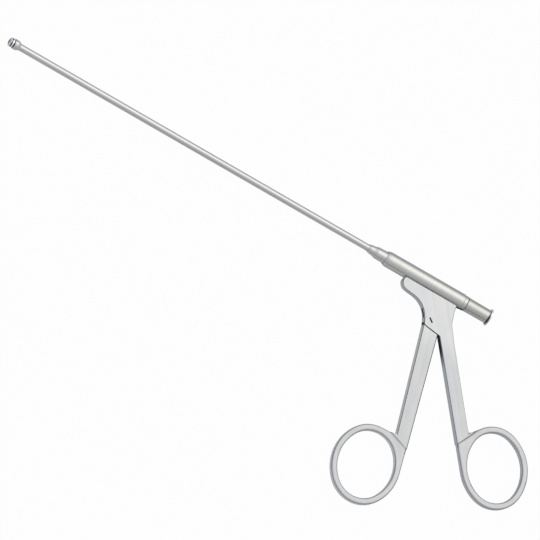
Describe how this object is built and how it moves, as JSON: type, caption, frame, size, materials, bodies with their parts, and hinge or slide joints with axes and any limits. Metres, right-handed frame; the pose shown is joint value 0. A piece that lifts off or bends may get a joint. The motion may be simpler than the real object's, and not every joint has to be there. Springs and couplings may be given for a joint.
{
  "type": "circular cutting punch",
  "caption": "Slim hand punch: squeezing its finger rings slides a cup on a tube's end onto a rod-held ring, which cuts a full circle; rinsing port at the rear.",
  "frame": {"origin": "on the shaft's axis, in the plane of the cleaning port's mouth", "axes": "+X along the shaft from the tip to the rear, +Y from the finger rings towards the barrel, +Z out of the handle's flat side: the instrument lies on its side"},
  "size_m": [0.2983, 0.1095, 0.0078],
  "materials": {
    "head_steel": "polished",
    "cup_steel": "matte",
    "tube_steel": "satin",
    "ferrule_steel": "satin",
    "barrel_steel": "satin",
    "handle_steel": "fine satin",
    "screw_steel": "satin",
    "rod_steel": "drawn",
    "inner_steel": "turned",
    "bearing_bronze": "turned",
    "seal_rubber": "matte"
  },
  "bodies": {
    "handle": {"barrel": "barrel_steel", "nose_bush": "bearing_bronze", "handle_frame": "handle_steel", "pivot_screw": "screw_steel", "pivot_bush": "bearing_bronze", "rod_anchor": "inner_steel", "rod_nut": "rod_steel", "rod_lock_nut": "rod_steel", "port_gasket": "seal_rubber", "luer_port": "barrel_steel", "control_rod": "rod_steel", "cutting_ring": "head_steel", "nose_dome": "head_steel"},
    "lever": {"lever": "handle_steel"},
    "sheath": {"cutting_cup": "cup_steel", "sheath_tube": "tube_steel", "rod_guide_bush": "bearing_bronze", "nose_ferrule": "ferrule_steel", "slider": "inner_steel", "slider_pin": "rod_steel"}
  },
  "joints": [
    {"name": "lever_pivot", "type": "hinge", "parent": "handle", "child": "lever", "pos_m": [-0.02375, -0.01507, 0], "axis": [0, 0, -1], "range_deg": [0, 18]},
    {"name": "sheath_slide", "type": "slide", "parent": "handle", "child": "sheath", "axis": [1, 0, 0], "range_m": [0, 0.00409]}
  ],
  "couplings": [
    {"joint": "sheath_slide", "follows": "lever_pivot", "m_per_rad": 0.013016}
  ]
}
